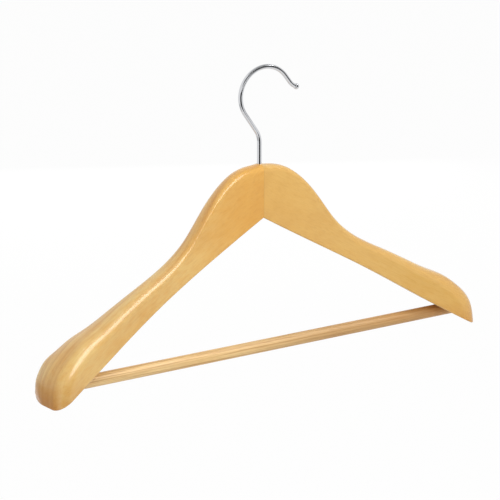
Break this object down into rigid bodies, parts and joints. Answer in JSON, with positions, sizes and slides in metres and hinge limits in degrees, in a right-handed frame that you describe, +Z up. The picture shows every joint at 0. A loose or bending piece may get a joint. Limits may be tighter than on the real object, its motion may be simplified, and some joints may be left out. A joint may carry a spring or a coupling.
{
  "type": "trouser hanger",
  "caption": "Wooden clothes hanger with contoured arms that widen into shoulders, a round bar for trousers and a metal wire hook that swivels.",
  "frame": {"origin": "where a rail bears inside the hook's bow, on the axis that the hook turns about", "axes": "+X along the shoulders towards the right arm, +Y from the front to the back, +Z up along the hook's shank"},
  "size_m": [0.466, 0.0516, 0.278],
  "materials": {
    "arm_wood": "clear gloss lacquer",
    "bar_wood": "clear satin lacquer",
    "dowel_wood": "bare",
    "hook_chrome": "polished plating",
    "steel": "bright drawn wire"
  },
  "bodies": {
    "hook": {"swivel_hook": "hook_chrome"},
    "hanger": {"left_arm": "arm_wood", "right_arm": "arm_wood", "upper_neck_dowel": "dowel_wood", "lower_neck_dowel": "dowel_wood", "hook_pin": "steel", "trouser_bar": "bar_wood", "left_bar_brad": "steel", "right_bar_brad": "steel"}
  },
  "joints": [
    {"name": "hook_swivel", "type": "hinge", "parent": "hook", "child": "hanger", "pos_m": [0, 0, -0.1], "axis": [0, 0, 1], "continuous": true}
  ]
}
